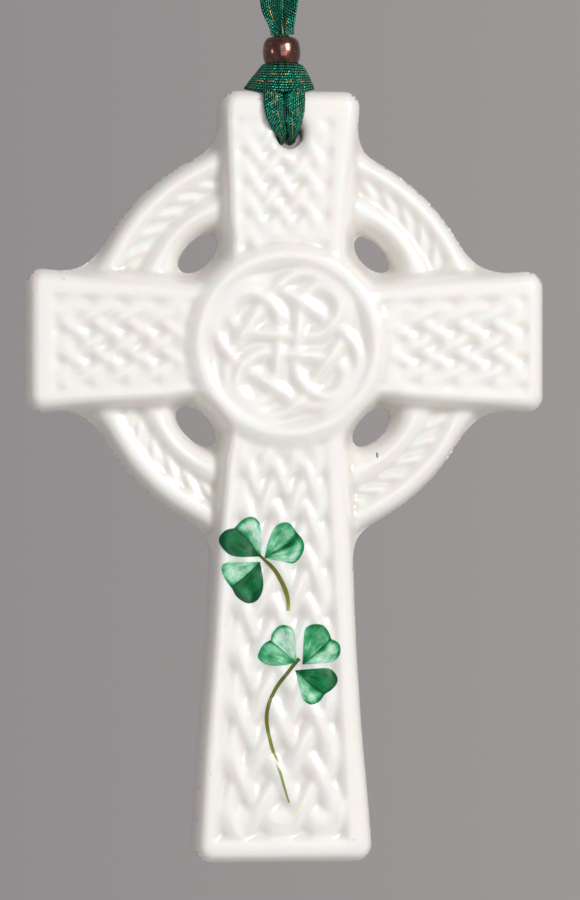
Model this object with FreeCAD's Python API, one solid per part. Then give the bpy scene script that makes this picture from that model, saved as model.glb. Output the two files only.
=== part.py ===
"""A hanging cross ornament of slip-cast porcelain, with its ribbon and bead.

Millimetres, +Z up, the decorated face towards -Y. The origin is the point the ornament hangs
from: the inside of the top of its ribbon loop. The cross is one casting, 102 mm high: four
arms that widen outwards, a round boss where they meet and a ring behind them with four
openings. Sunk panels on the arms and the boss carry interlaced knotwork, and the ring
carries a twisted rope between two ridges. A narrow ribbon is hitched through the hole in the
top arm, gathered in a bead, and rises in two strands to its loop.
"""

import FreeCAD, Part
import math
import os

from FreeCAD import Vector

# Outline of the cross, measured from the point where the arms' centre lines meet.
TOP_REACH = 33.0
SIDE_REACH = 34.2
FOOT_REACH = 69.0
TOP_END_HALF = 9.0
SIDE_END_HALF = 9.5
FOOT_END_HALF = 11.2
WAIST_HALF = 7.4
SIDE_WAIST_HALF = 6.9
CORNER_RADIUS = 2.4
SHOULDER = 1.2
BACK_EDGE = 0.7

# Depths: the mid plane of the arms is y = 0 and the front is negative.
ARM_THICK = 8.4
PANEL_SUNK = 0.95
RING_SET_BACK = 1.9
ROPE_SUNK = 1.1
BOSS_PROUD = 0.9
BOSS_DROP = 0.5

# Ring, from the middle outwards.
RING_OUTER_R = 26.7
OUTER_RIDGE_W = 2.9
ROPE_TRACK_W = 2.3
INNER_RIDGE_W = 3.1
ROPE_STEP = 8.0
ROPE_FIRST = 6.6
ROPE_HIDDEN = 8.5
LOBE_LENGTH = 3.3
LOBE_W = 1.7
LOBE_SLANT = 60.0

# Openings between the arms, as shares of the room between the boss and the ring's inner ridge.
OPENING_SHARE = 0.815
OPENING_ASPECT = 1.77
OPENING_CLEAR = 0.1

# Boss and its knot of four linked rings and a four-lobed strand.
BOSS_R = 13.0
BOSS_RIM_W = 2.4
KNOT_RING_R = 3.95
KNOT_RING_CENTRE_R = 5.1
KNOT_TURN = 70.0
LOBE_OUT_R = 9.1
LOBE_BAR_R = 5.7
LOBE_BAR_HALF = 3.2
STRAND_W = 1.95
BOSS_STRAND_W = 1.75

# Sunk panels: the margins leave a border round each one.
BORDER = 2.6
TOP_PANEL_BORDER = 4.1
SIDE_PANEL_BORDER = 2.3
FOOT_PANEL_BORDER = 3.3
COLUMN_COUNT = 6
TOP_ROW_COUNT = 8
SIDE_ROW_COUNT = 8
FOOT_ROW_COUNT = 16
FOOT_ROW_GROWTH_RATIO = 1.25

# Hanging hole through the top arm.
HOLE_D = 3.6
HOLE_DOWN = 5.9
HOLE_X = 0.3

# Ribbon and bead.
RIBBON_W = 3.5
RIBBON_T = 0.45
RIBBON_GAP = 0.1
HITCH_HALF = 2.55
BAND_HALF = 4.1
BAND_HIGH = 3.4
BAND_THICK = 2.6
BEAD_D = 5.0
BEAD_HIGH = 4.0
BEAD_BORE = 2.6
LOOP_RISE = 75.0
X_BEAD = -0.3
STRAND_APART = 0.62
NECK_STRAIGHT = 2.0

# Values worked out from the ones above.
FACE = -ARM_THICK / 2
BACK = ARM_THICK / 2
PANEL_FLOOR = FACE + PANEL_SUNK
RING_FACE = FACE + RING_SET_BACK
RING_FIELD = RING_FACE + 0.6
RING_BACK = BACK - 0.35
ROPE_FLOOR = RING_FACE + ROPE_SUNK
BOSS_CREST = FACE - BOSS_PROUD
BOSS_FLOOR = FACE
OUTER_RIDGE_IN_R = RING_OUTER_R - OUTER_RIDGE_W
INNER_RIDGE_OUT_R = OUTER_RIDGE_IN_R - ROPE_TRACK_W
INNER_RIDGE_IN_R = INNER_RIDGE_OUT_R - INNER_RIDGE_W
OPENING_SHORT = OPENING_SHARE * (INNER_RIDGE_IN_R - BOSS_R)
OPENING_LONG = OPENING_ASPECT * OPENING_SHORT
OPENING_R = INNER_RIDGE_IN_R - OPENING_CLEAR - OPENING_SHORT / 2
ROPE_R = (OUTER_RIDGE_IN_R + INNER_RIDGE_OUT_R) / 2
BOSS_FIELD_R = BOSS_R - BOSS_RIM_W
CENTRE_Z = -LOOP_RISE - TOP_REACH
CROSS_TOP_Z = -LOOP_RISE
HOLE_Z = TOP_REACH - HOLE_DOWN
BEAD_LOW_Z = CROSS_TOP_Z + BAND_HIGH
BEAD_TOP_Z = BEAD_LOW_Z + BEAD_HIGH
NECK_HALF = 0.35 * BEAD_BORE
CORE_HALF = 0.32 * HOLE_D
NECK_TOP_Z = BEAD_TOP_Z + 0.3

# The ribbon's loop, as (x, z) points of its middle line, from the bead up and round and back.
LOOP_ROUTE = [
    (X_BEAD - STRAND_APART, NECK_TOP_Z),
    (X_BEAD - STRAND_APART, NECK_TOP_Z + NECK_STRAIGHT),
    (-5.0, -8.5),
    (-3.8, RIBBON_T / 2),
    (3.8, RIBBON_T / 2),
    (5.0, -8.5),
    (X_BEAD + STRAND_APART, NECK_TOP_Z + NECK_STRAIGHT),
    (X_BEAD + STRAND_APART, NECK_TOP_Z),
]


def plate(points, y_front, y_back):
    """A flat plate: a closed outline of (x, z) points, from y_front to y_back."""
    corners = [Vector(x, y_front, z) for x, z in points]
    outline = Part.Face(Part.makePolygon(corners + corners[:1]))
    return outline.extrude(Vector(0, y_back - y_front, 0))


def edges_at(solid, y):
    """The solid's edges that lie wholly in the plane y."""
    return [e for e in solid.Edges if abs(e.BoundBox.YMin - y) < 1e-6 and abs(e.BoundBox.YMax - y) < 1e-6]


def edges_along_y(solid, corners):
    """The solid's edges that run front to back through any of the (x, z) corners."""
    found = []
    for edge in solid.Edges:
        box = edge.BoundBox
        for x, z in corners:
            if abs(box.XMin - x) + abs(box.XMax - x) + abs(box.ZMin - z) + abs(box.ZMax - z) < 1e-4:
                found.append(edge)
    return found


def beam(points, corners):
    """One pair of arms: a plate with rounded end corners, sloping shoulders and a softened back."""
    solid = plate(points, FACE, BACK)
    solid = solid.makeFillet(CORNER_RADIUS, edges_along_y(solid, corners))
    solid = solid.makeChamfer(SHOULDER, edges_at(solid, FACE))
    return solid.makeChamfer(BACK_EDGE, edges_at(solid, BACK))


def arms():
    """The upright and the crosspiece, each widening from the waist to its ends."""
    top = [(-TOP_END_HALF, TOP_REACH), (TOP_END_HALF, TOP_REACH)]
    foot = [(FOOT_END_HALF, -FOOT_REACH), (-FOOT_END_HALF, -FOOT_REACH)]
    upright = beam(top + [(WAIST_HALF, 0)] + foot + [(-WAIST_HALF, 0)], top + foot)
    right = [(SIDE_REACH, SIDE_END_HALF), (SIDE_REACH, -SIDE_END_HALF)]
    left = [(-SIDE_REACH, -SIDE_END_HALF), (-SIDE_REACH, SIDE_END_HALF)]
    waist_low, waist_high = (0, -SIDE_WAIST_HALF), (0, SIDE_WAIST_HALF)
    crosspiece = beam(right + [waist_low] + left + [waist_high], right + left)
    return upright.fuse(crosspiece)


def turned(profile):
    """A solid of revolution about the front-to-back axis through the crossing, from (r, y) points."""
    points = [Vector(r, y, 0) for r, y in profile]
    face = Part.Face(Part.makePolygon(points + points[:1]))
    return face.revolve(Vector(0, 0, 0), Vector(0, 1, 0), 360)


def ring():
    """The ring: a flat band with an outer and an inner ridge and a sunk track for the rope."""
    profile = [
        (0, RING_BACK),
        (RING_OUTER_R, RING_BACK),
        (RING_OUTER_R, RING_FACE + 0.35 * OUTER_RIDGE_W),
        (RING_OUTER_R - 0.5 * OUTER_RIDGE_W, RING_FACE),
        (OUTER_RIDGE_IN_R, ROPE_FLOOR),
        (INNER_RIDGE_OUT_R, ROPE_FLOOR),
        (INNER_RIDGE_IN_R + 0.5 * INNER_RIDGE_W, RING_FACE),
        (INNER_RIDGE_IN_R, RING_FIELD),
        (0, RING_FIELD),
    ]
    return turned(profile)


def boss():
    """The round boss: a disc with a raised rim round a level field."""
    profile = [
        (0, RING_FACE + 1.0),
        (BOSS_R, RING_FACE + 1.0),
        (BOSS_R, FACE),
        (BOSS_R - 0.45 * BOSS_RIM_W, BOSS_CREST),
        (BOSS_FIELD_R, BOSS_FLOOR),
        (0, BOSS_FLOOR),
    ]
    return turned(profile)


def strand_section(width, floor, crest, level_share=0.45):
    """A strand's raised part as (across, y) points: two slopes and a level crest between them.

    The slopes go on below the floor to root the strand. Without a level share they meet in
    one crest line.
    """
    half = width / 2
    level = level_share * half
    root = 0.4 * (floor - crest)
    foot = half + 0.4 * (half - level)
    crest_points = [(-level, crest), (level, crest)] if level else [(0, crest)]
    return [(-foot, floor + root)] + crest_points + [(foot, floor + root)]


def bar(start, end, section, dip=0.0):
    """A straight length of strand from one (x, z) point to another, sinking by dip on its way."""
    run = Vector(end[0] - start[0], 0, end[1] - start[1])
    side = run.cross(Vector(0, 1, 0)).normalize()
    points = [Vector(start[0], 0, start[1]) + side * a + Vector(0, y, 0) for a, y in section]
    return Part.Face(Part.makePolygon(points + points[:1])).extrude(run + Vector(0, dip, 0))


def arch(low_end, middle, high_end, section, dips):
    """A strand's length on top of a crossing: highest at its middle, sinking towards each end."""
    run = Vector(high_end[0] - low_end[0], 0, high_end[1] - low_end[1]) / 2
    halves = []
    for way, dip in zip((-1, 1), dips):
        end = middle[0] + way * run.x, middle[1] + way * run.z
        halves.append(bar(middle, end, section, dip=dip))
    return halves


def bent_bar(centre, radius, start_angle, sweep, section):
    """A strand bent round the (x, z) centre, from start_angle through sweep, in degrees."""
    points = [Vector(radius + a, y, 0) for a, y in section]
    face = Part.Face(Part.makePolygon(points + points[:1]))
    solid = face.revolve(Vector(0, 0, 0), Vector(0, -1, 0), sweep)
    solid.rotate(Vector(0, 0, 0), Vector(0, -1, 0), start_angle)
    solid.translate(Vector(centre[0], 0, centre[1]))
    return solid


def polar(radius, angle):
    """The (x, z) point at an angle in degrees, counted from +X towards +Z."""
    return radius * math.cos(math.radians(angle)), radius * math.sin(math.radians(angle))


def rope():
    """Slanted lobes of the rope along the ring's track, where the arms leave it in view."""
    section = strand_section(LOBE_W, ROPE_FLOOR, RING_FACE + 0.1, level_share=0)
    lobes = []
    for step in range(int(360 / ROPE_STEP)):
        angle = ROPE_FIRST + step * ROPE_STEP
        x, z = polar(ROPE_R, angle)
        if min(abs(x), abs(z)) < ROPE_HIDDEN:
            continue
        dx, dz = polar(LOBE_LENGTH / 2, angle + LOBE_SLANT)
        lobes += arch((x - dx, z - dz), (x, z), (x + dx, z + dz), section, (0.5 * ROPE_SUNK,) * 2)
    return lobes


def panel_frame(inner, outer, inner_half, outer_half, turn):
    """A tapering panel along an arm: a function from (across -1..1, along 0..1) to (x, z)."""
    def place(across, along):
        reach = inner + (outer - inner) * along
        half = inner_half + (outer_half - inner_half) * along
        ux, uz = polar(1, turn)
        return reach * ux - across * half * uz, reach * uz + across * half * ux
    return place


def panels():
    """The four sunk panels, as (place, rows, row growth), each from the boss outwards."""
    def halves(waist, end_half, reach, border, inner, outer):
        def half_at(distance):
            return waist + (end_half - waist) * distance / reach - border
        return half_at(inner), half_at(outer)
    inner = BOSS_R - 0.2 * BOSS_RIM_W
    found = []
    for turn, waist, end_half, reach, end_border, rows, growth in [
        (90, WAIST_HALF, TOP_END_HALF, TOP_REACH, TOP_PANEL_BORDER, TOP_ROW_COUNT, 1.0),
        (0, SIDE_WAIST_HALF, SIDE_END_HALF, SIDE_REACH, SIDE_PANEL_BORDER, SIDE_ROW_COUNT, 1.0),
        (180, SIDE_WAIST_HALF, SIDE_END_HALF, SIDE_REACH, SIDE_PANEL_BORDER, SIDE_ROW_COUNT, 1.0),
        (270, WAIST_HALF, FOOT_END_HALF, FOOT_REACH, FOOT_PANEL_BORDER, FOOT_ROW_COUNT, FOOT_ROW_GROWTH_RATIO),
    ]:
        outer = reach - end_border
        inner_half, outer_half = halves(waist, end_half, reach, BORDER, inner, outer)
        place = panel_frame(inner, outer, inner_half, outer_half, turn)
        found.append((place, rows, growth))
    return found


def panel_recess(place):
    """What is cut away to sink one panel below the arm's face."""
    corners = [place(-1, -0.1), place(1, -0.1), place(1, 1), place(-1, 1)]
    return plate(corners, FACE - 1, PANEL_FLOOR)


def knotwork(place, rows, growth):
    """A plait of six strands: each crossing is an arched length of the strand that lies on top.

    The crossings stand on a lattice of columns and rows. A strand turns back where it meets
    the border, and there a lower bar takes it on to its next crossing, where it lies below.
    """
    section = strand_section(STRAND_W, PANEL_FLOOR, FACE + 0.1)
    low = strand_section(STRAND_W, PANEL_FLOOR, FACE + 0.3)

    def knot(column, row):
        share = row / rows
        return place(2 * column / COLUMN_COUNT - 1, share * (1 + (growth - 1) * share) / growth)

    strands = []
    for row in range(1, rows):
        for column in range(1, COLUMN_COUNT):
            if (row + column) % 2 == 0:
                continue
            lean = 1 if column % 2 else -1
            ends = [knot(column + way * lean * 0.9, row + way * 0.9) for way in (-1, 1)]
            dips = [0.45 * PANEL_SUNK] * 2
            strands += arch(ends[0], knot(column, row), ends[1], section, dips)
    for row in range(1, rows, 2):
        strands.append(bar(knot(-0.15, row + 0.15), knot(0.9, row - 0.9), low))
        strands.append(bar(knot(COLUMN_COUNT + 0.15, row - 0.15), knot(COLUMN_COUNT - 0.9, row + 0.9), low))
    for column in range(1, COLUMN_COUNT, 2):
        strands.append(bar(knot(column + 0.15, rows + 0.15), knot(column - 0.9, rows - 0.9), low))
    return strands


def boss_knot():
    """The boss's knot: four rings, each linked with the next, and a strand with four lobes."""
    floor = BOSS_FLOOR
    ring_section = strand_section(BOSS_STRAND_W, floor, BOSS_CREST + 0.1)
    lobe_section = strand_section(BOSS_STRAND_W, floor, BOSS_CREST + 0.3)
    strands = []
    for quarter in range(4):
        angle = KNOT_TURN + 90 * quarter
        strands.append(bent_bar(polar(KNOT_RING_CENTRE_R, angle), KNOT_RING_R, 0, 360, ring_section))
        bar_angle = math.degrees(math.atan2(LOBE_BAR_HALF, LOBE_BAR_R))
        bar_end_r = math.hypot(LOBE_BAR_R, LOBE_BAR_HALF)
        start, end = polar(bar_end_r, angle - bar_angle), polar(bar_end_r, angle + bar_angle)
        strands.append(bar(start, end, lobe_section))
        gap_half = math.radians(45 - bar_angle)
        chord_half = bar_end_r * math.sin(gap_half)
        rise = LOBE_OUT_R - bar_end_r * math.cos(gap_half)
        radius = (chord_half ** 2 + rise ** 2) / (2 * rise)
        middle = polar(LOBE_OUT_R - radius, angle + 45)
        open_half = math.degrees(math.asin(min(1, chord_half / radius)))
        sweep = 360 - 2 * open_half if rise > radius else 2 * open_half
        strands.append(bent_bar(middle, radius, angle + 45 - sweep / 2, sweep, lobe_section))
    return strands


def oval_plate(half_long, half_short, y_front, y_back):
    """A plate of oval outline from four tangent arcs, long along X, centred on the Y axis."""
    tip_radius = 0.62 * half_short
    tip_x = half_long - tip_radius
    flank_radius = (tip_x ** 2 + half_short ** 2 - tip_radius ** 2) / (2 * (half_short - tip_radius))
    lean = math.atan2(tip_x, flank_radius - half_short)
    join_x = tip_x + tip_radius * math.sin(lean)
    join_z = tip_radius * math.cos(lean)

    def arc(start, middle, end):
        return Part.Arc(*[Vector(x, y_front, z) for x, z in (start, middle, end)]).toShape()
    outline = Part.Wire([
        arc((-join_x, join_z), (0, half_short), (join_x, join_z)),
        arc((join_x, join_z), (half_long, 0), (join_x, -join_z)),
        arc((join_x, -join_z), (0, -half_short), (-join_x, -join_z)),
        arc((-join_x, -join_z), (-half_long, 0), (-join_x, join_z)),
    ])
    return Part.Face(outline).extrude(Vector(0, y_back - y_front, 0))


def opening(angle):
    """What is cut away for one opening inside the ring: an oval across the corner of two arms."""
    cutter = oval_plate(OPENING_LONG / 2, OPENING_SHORT / 2, RING_FACE - 1, BACK + 1)
    cutter.rotate(Vector(0, 0, 0), Vector(0, -1, 0), angle + 90)
    x, z = polar(OPENING_R, angle)
    cutter.translate(Vector(x, 0, z))
    return cutter


def hanging_hole():
    """The hole for the ribbon, through the top arm from front to back."""
    return Part.makeCylinder(HOLE_D / 2, ARM_THICK + 2, Vector(HOLE_X, FACE - 1, HOLE_Z), Vector(0, 1, 0))


def cross():
    """The whole casting."""
    body = arms()
    all_panels = panels()
    body = body.cut([panel_recess(place) for place, rows, growth in all_panels])
    ribs = []
    for place, rows, growth in all_panels:
        ribs += knotwork(place, rows, growth)
    body = body.fuse(ribs + rope() + [ring()])
    down = Vector(0, 0, -BOSS_DROP)
    medallion = boss().fuse(boss_knot())
    medallion.translate(down)
    seat = Part.makeCylinder(BOSS_R - BOSS_RIM_W / 2, 1 + BOSS_FLOOR - FACE + 0.5, Vector(0, FACE - 1, 0),
                             Vector(0, 1, 0))
    seat.translate(down)
    body = body.cut(seat).fuse(medallion)
    body = body.cut([opening(angle) for angle in (45, 135, 225, 315)] + [hanging_hole()])
    body = body.removeSplitter()
    body.translate(Vector(0, 0, CENTRE_Z))
    return body


def bead():
    """The lustred bead: a round barrel with a bore for the gathered ribbon."""
    half = BEAD_HIGH / 2
    bore = BEAD_BORE / 2
    wide = BEAD_D / 2
    profile = [(bore, -half), (0.8 * wide, -half), (wide, -0.6 * half),
               (wide, 0.6 * half), (0.8 * wide, half), (bore, half)]
    points = [Vector(r, 0, z) for r, z in profile]
    solid = Part.Face(Part.makePolygon(points + points[:1])).revolve(Vector(0, 0, 0), Vector(0, 0, 1), 360)
    solid.translate(Vector(X_BEAD, 0, BEAD_LOW_Z + half))
    return solid


def ribbon_hitch():
    """The ribbon's hitch on the top arm, with its folded neck through the bead."""
    outer_y = -FACE + RIBBON_GAP + RIBBON_T
    inner_y = -FACE + RIBBON_GAP
    hole_z = CENTRE_Z + HOLE_Z
    low_z = hole_z - CORE_HALF
    strap_top = CROSS_TOP_Z + RIBBON_T
    leg = [(-HITCH_HALF, strap_top), (HITCH_HALF, strap_top),
           (HOLE_X + CORE_HALF, low_z), (HOLE_X - CORE_HALF, low_z)]
    front = plate(leg, -outer_y, -inner_y)
    back = plate(leg, inner_y, outer_y)
    over = Part.makeBox(2 * HITCH_HALF, 2 * outer_y, RIBBON_T, Vector(-HITCH_HALF, -outer_y, CROSS_TOP_Z))
    through = Part.makeBox(2 * CORE_HALF, 2 * outer_y, 2 * CORE_HALF,
                           Vector(HOLE_X - CORE_HALF, -outer_y, hole_z - CORE_HALF))
    band = plate([(-0.75 * BAND_HALF, CROSS_TOP_Z), (0.75 * BAND_HALF, CROSS_TOP_Z),
                  (BAND_HALF, CROSS_TOP_Z + 0.45 * BAND_HIGH), (0.55 * BAND_HALF, BEAD_LOW_Z),
                  (-0.55 * BAND_HALF, BEAD_LOW_Z), (-BAND_HALF, CROSS_TOP_Z + 0.45 * BAND_HIGH)],
                 -BAND_THICK, 0.5 * BAND_THICK)
    neck_low = CROSS_TOP_Z + 0.5 * BAND_HIGH
    neck = Part.makeBox(2 * NECK_HALF, 2 * NECK_HALF, NECK_TOP_Z - neck_low,
                        Vector(X_BEAD - NECK_HALF, -NECK_HALF, neck_low))
    return front.fuse([back, over, through, band, neck]).removeSplitter()


def rounded_path(points):
    """Straight runs joined by tangent arcs, each as large as its two runs allow, in the XZ plane."""
    places = [Vector(x, 0, z) for x, z in points]
    edges = []
    start = places[0]
    for before, corner, after in zip(places, places[1:], places[2:]):
        into, out = (corner - before), (after - corner)
        run = min(into.Length, out.Length)
        into.normalize()
        out.normalize()
        half_turn = math.acos(max(-1.0, min(1.0, into.dot(out)))) / 2
        radius = 0.45 * run / math.tan(half_turn)
        print("loop bend: turn %.1f deg, radius %.1f mm" % (math.degrees(2 * half_turn), radius))
        first, last = corner - into * (0.45 * run), corner + out * (0.45 * run)
        inward = (out - into).normalize()
        middle = corner + inward * (radius / math.cos(half_turn) - radius)
        edges.append(Part.LineSegment(start, first).toShape())
        edges.append(Part.Arc(first, middle, last).toShape())
        start = last
    edges.append(Part.LineSegment(start, places[-1]).toShape())
    return Part.Wire(edges)


def ribbon_loop():
    """The two standing strands and the loop that joins them: one flat strip on edge."""
    path = rounded_path(LOOP_ROUTE)
    inner_face = path.makeOffset2D(-RIBBON_T / 2, 0, False, True)
    strip = inner_face.makeOffset2D(RIBBON_T, 0, True, True).extrude(Vector(0, RIBBON_W, 0))
    strip.translate(Vector(0, -RIBBON_W / 2, 0))
    print("loop length %.1f mm, volume %.2f, section times length %.2f" % (
        path.Length, strip.Volume, path.Length * RIBBON_W * RIBBON_T))
    return strip


NODES = {
    "porcelain_cross": cross,
    "bead": bead,
    "ribbon_hitch": ribbon_hitch,
    "ribbon_loop": ribbon_loop,
}

os.makedirs("parts", exist_ok=True)
for name, make in NODES.items():
    shape = make()
    print(name, "valid" if shape.isValid() else "NOT VALID", len(shape.Solids), "solids",
          "%.1f mm3" % shape.Volume)
    shape.exportStep("parts/%s.step" % name)
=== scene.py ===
"""The hanging porcelain cross: glazed relief, painted shamrocks, ribbon, hitch and bead.

Shapes are worked out in millimetres in the cross's own plane, x to the right and z up from the
point where the arms' centre lines meet, with heights counted towards the viewer. placed() turns
them into metres in the row frame.
"""

import math
from collections import namedtuple

import bmesh
import bpy
import numpy as np
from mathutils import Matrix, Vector


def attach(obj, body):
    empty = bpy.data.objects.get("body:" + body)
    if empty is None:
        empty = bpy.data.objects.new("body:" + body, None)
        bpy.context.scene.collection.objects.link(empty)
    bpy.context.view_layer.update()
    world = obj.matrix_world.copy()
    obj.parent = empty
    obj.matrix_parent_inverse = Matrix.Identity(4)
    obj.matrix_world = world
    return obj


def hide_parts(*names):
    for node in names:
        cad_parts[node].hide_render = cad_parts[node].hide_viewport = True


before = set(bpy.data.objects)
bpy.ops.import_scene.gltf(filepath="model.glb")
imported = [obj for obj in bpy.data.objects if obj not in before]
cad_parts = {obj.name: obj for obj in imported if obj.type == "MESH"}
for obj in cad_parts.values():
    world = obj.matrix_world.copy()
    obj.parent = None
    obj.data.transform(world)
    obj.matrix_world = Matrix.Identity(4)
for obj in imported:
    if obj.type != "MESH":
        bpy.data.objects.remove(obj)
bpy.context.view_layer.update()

MM = 0.001

# The casting's reach from the point where its arms' centre lines meet, and its front and back.
CENTRE_Z = -108.0
TOP_REACH = 33.0
FOOT_REACH = 69.0
SIDE_REACH = 34.2
LEFT_REACH = 34.45
RIGHT_REACH = 34.25
CORNER_R = 2.4
FACE = 4.2
BACK = -4.2
DEEPEST = -2.5

# The upright's half widths at the centre and their growth per millimetre, above and below it.
LEFT_ABOVE = (8.15, 0.02)
LEFT_BELOW = (7.8, 0.067)
RIGHT_ABOVE = (7.2, 0.08)
RIGHT_BELOW = (7.3, 0.051)

# The crosspiece's half height at the centre, its growth to the ends and its surplus below.
CROSSPIECE_HALF = 6.9
CROSSPIECE_GROWTH = 2.6
CROSSPIECE_BELOW = 0.2

# The ring: its outer radius and centre, the fillets where it meets the arms, and its relief.
RING_R = 27.0
RING_X = -0.25
RING_Z = -0.1
SIDE_FILLET = 5.0
UPRIGHT_FILLET = 3.8
TRACK_HEIGHT = 1.15
RIDGE_HEIGHT = 1.1
OUTER_RIDGE_R = 25.06
INNER_RIDGE_R = 19.9
ROPE_R = 23.0
ROPE_PITCH = 8.0
ROPE_SLANT = 4.02
ROPE_SLANT_R = 22.08

# The boss: its centre below the arms', its radii, and the knot on it.
BOSS_DOWN = 0.6
BOSS_R = 13.6
BOSS_RIM_R = 11.8
BOSS_LEVEL = 4.05
BOSS_RIM = 0.74
KNOT_SINK = 0.1
KNOT_MID = 0.63
KNOT_SWING = 0.17

# The hole for the ribbon.
HOLE_X = 0.3
HOLE_Z = 27.1
HOLE_R = 1.8

# Rounded edges, as the run of the rounding and its drop.
FACE_EDGE = (1.3, 1.8)
RING_EDGE = (1.5, 1.6)
BOSS_EDGE = (1.8, 1.0)
OPENING_EDGE = (2.1, 2.4)
HOLE_EDGE = (0.8, 0.8)

# Bead and ribbon.
BEAD_X = -0.45
BEAD_LOW_Z = -71.6
BEAD_HIGH = 4.0
BEAD_BORE_R = 1.25
BEAD_BULGE = 1.28
RIBBON_W = 3.5
RIBBON_THICK = 0.3
NECK_TOP_Z = -67.3

# The camera looks from a little to the left, through a long lens.
CAMERA_TURN = math.radians(-5.5)
CAMERA_DISTANCE = 0.49875
CAMERA_LENS = 150.0
LOOK_AT = Vector((0.667 * MM, -0.064 * MM, -122.5 * MM))


def set_camera():
    """Puts the camera at its distance from the point it looks at, and turns it there."""
    towards = Vector((math.sin(CAMERA_TURN), -math.cos(CAMERA_TURN), 0.0))
    data = bpy.data.cameras.new("camera")
    data.lens = CAMERA_LENS
    data.clip_start = 0.01
    data.clip_end = 20.0
    camera = bpy.data.objects.new("camera", data)
    camera.location = LOOK_AT + towards * CAMERA_DISTANCE
    camera.rotation_mode = "QUATERNION"
    camera.rotation_quaternion = (-towards).to_track_quat("-Z", "Y")
    bpy.context.scene.collection.objects.link(camera)
    bpy.context.scene.camera = camera


set_camera()
bpy.context.scene.view_settings.view_transform = "Standard"


def smooth_step(value):
    """0 below 0, 1 above 1, and the cubic 3v^2 - 2v^3 between them."""
    v = np.clip(value, 0, 1)
    return v * v * (3 - 2 * v)


def soft_max(a, b, width):
    """The larger of a and b, its corner rounded by a parabola where they differ by less than width."""
    share = np.clip(0.5 + 0.5 * (a - b) / width, 0, 1)
    return b + (a - b) * share + width * share * (1 - share)


def soft_min(a, b, width):
    """The smaller of a and b, rounded as soft_max is."""
    return -soft_max(-a, -b, width)


def edge_fall(inside, run, drop):
    """How far a rounded edge lies below its face.

    Within run of the edge it is drop times an arc of an ellipse, and outside the edge it goes
    on down at a slope of 2.
    """
    t = np.clip(1 - inside / run, 0, 1)
    return 2 * drop * (1 - np.sqrt(1 - 0.75 * t * t)) + 2 * np.maximum(-inside, 0)


def rounded_corner(flank, end, radius):
    """Distance inside two straight edges whose corner is a quarter circle of that radius."""
    a, b = radius - flank, radius - end
    return radius - np.hypot(np.maximum(a, 0), np.maximum(b, 0)) - np.minimum(np.maximum(a, b), 0)


def flank_half(z, above, below):
    """A flank's distance from the centre line: a start plus a growth times |z|, above and below."""
    return np.where(z > 0, above[0] + above[1] * z, below[0] - below[1] * z)


def inside_upright(x, z):
    """Distance inside the upright, with its corners rounded.

    Its half width grows from the centre on both flanks, and the right one bows out towards the
    foot. A slight sine wave along z keeps the flanks from looking ruled.
    """
    bow = 0.7 * smooth_step((-z - 50) / 20)
    left = flank_half(z, LEFT_ABOVE, LEFT_BELOW)
    right = flank_half(z, RIGHT_ABOVE, RIGHT_BELOW) + bow
    half = np.where(x < 0, left, right) + 0.08 * np.sin(0.21 * z + 0.6)
    end = np.where(z > 0, TOP_REACH - z, FOOT_REACH + z)
    return rounded_corner(half - np.abs(x), end, CORNER_R)


def inside_crosspiece(x, z):
    """Distance inside the crosspiece, with its corners rounded.

    Its half height grows in proportion to |x| and is a little larger below. A slight sine wave
    along x fades in away from the centre.
    """
    out = np.abs(x)
    half = CROSSPIECE_HALF + CROSSPIECE_GROWTH * out / SIDE_REACH + np.where(z < 0, CROSSPIECE_BELOW, 0)
    half = half + 0.10 * np.sin(0.33 * x + 1.1) * smooth_step(out / 9)
    end = np.where(x < 0, LEFT_REACH, RIGHT_REACH) - out
    return rounded_corner(half - np.abs(z), end, CORNER_R)


def inside_outline(x, z):
    """Distance inside the whole outline: arms and ring, their inner corners filled by soft_max."""
    ring = RING_R - np.hypot(x - RING_X, z - RING_Z)
    outline = soft_max(inside_crosspiece(x, z), ring, SIDE_FILLET)
    return soft_max(outline, inside_upright(x, z), UPRIGHT_FILLET)


# The ring's openings: direction in degrees, distance of the middle from the centre, and size.
OPENINGS = [
    (44.5, 16.6, 0.9),
    (134.6, 16.45, 1.0),
    (224.0, 16.5, 1.0),
    (315.6, 16.5, 0.97),
]
OPENING_LONG = 3.35
OPENING_OUTER = 1.7
OPENING_INNER = 2.0


def outside_opening(x, z, angle, centre, size):
    """Distance outside one opening: an egg, flatter on its outer flank, lying across the corner.

    It is p (p - 1) / q, with p the distance from the egg's middle in units of its half lengths
    and q the same in units of their squares.
    """
    u = math.radians(angle)
    out = x * math.cos(u) + z * math.sin(u) - centre
    along = z * math.cos(u) - x * math.sin(u)
    long = OPENING_LONG * size
    short = np.where(out > 0, OPENING_OUTER, OPENING_INNER) * size
    p = np.hypot(out / short, along / long)
    q = np.hypot(out / short ** 2, along / long ** 2) + 1e-9
    return p * (p - 1) / q


def outside_openings(x, z):
    """Distance outside the nearest of the four openings."""
    nearest = np.full(np.shape(x), np.inf)
    for opening in OPENINGS:
        nearest = np.minimum(nearest, outside_opening(x, z, *opening))
    return nearest


def outside_hole(x, z):
    """Distance outside the round hole for the ribbon."""
    return np.hypot(x - HOLE_X, z - HOLE_Z) - HOLE_R


def material_distance(x, z):
    """Distance inside the porcelain: the least of those to its outline, openings and hole."""
    inner = np.minimum(outside_openings(x, z), outside_hole(x, z))
    return np.minimum(inside_outline(x, z), inner)


def bump(distance, half, power=0.5):
    """A strand's rounded section: (1 - (d / half)^2) to a power, and nothing beyond its half."""
    return np.maximum(1 - (distance / half) ** 2, 0) ** power


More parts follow.
